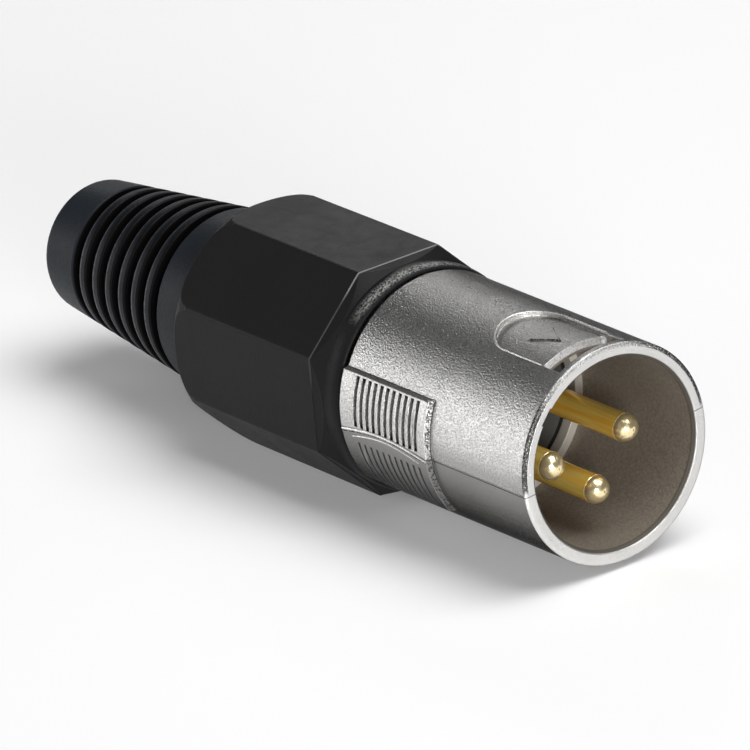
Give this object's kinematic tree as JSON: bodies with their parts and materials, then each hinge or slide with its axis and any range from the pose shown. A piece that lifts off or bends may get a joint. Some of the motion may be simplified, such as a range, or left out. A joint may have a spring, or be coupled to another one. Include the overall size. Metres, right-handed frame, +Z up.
{
  "type": "xlr cable plug",
  "caption": "Round cable plug with a plated barrel, gold contact pins, latch slot, ribbed grips, black octagonal nut and ribbed rubber boot.",
  "frame": {"origin": "on the surface that the plug lies on, under the middle of its length", "axes": "+X along the plug towards its mating end, +Z up, perpendicular to the nut's lowest flat"},
  "size_m": [0.0726, 0.0202, 0.0202],
  "materials": {
    "plated_zinc": "satin nickel plating with a fine grain",
    "insert_plastic": "satin moulded",
    "gold": "polished gold plating",
    "spring_steel": "bright strip",
    "chuck_plastic": "satin moulded",
    "nut_plastic": "satin moulded",
    "boot_rubber": "matte"
  },
  "bodies": {
    "shell": {"shell": "plated_zinc", "insert": "insert_plastic", "pin_1": "gold", "pin_2": "gold", "pin_3": "gold", "ground_spring": "spring_steel", "chuck": "chuck_plastic"},
    "boot": {"boot": "boot_rubber"},
    "nut": {"nut": "nut_plastic"}
  },
  "joints": [
    {"name": "nut_travel", "type": "slide", "parent": "shell", "child": "boot", "axis": [-1, 0, 0], "range_m": [0, 0.00876]},
    {"name": "nut_turn", "type": "hinge", "parent": "boot", "child": "nut", "pos_m": [0, 0, 0.0101], "axis": [-1, 0, 0], "range_deg": [0, 2520]}
  ],
  "couplings": [
    {"joint": "nut_travel", "follows": "nut_turn", "m_per_rad": 0.00019894}
  ]
}
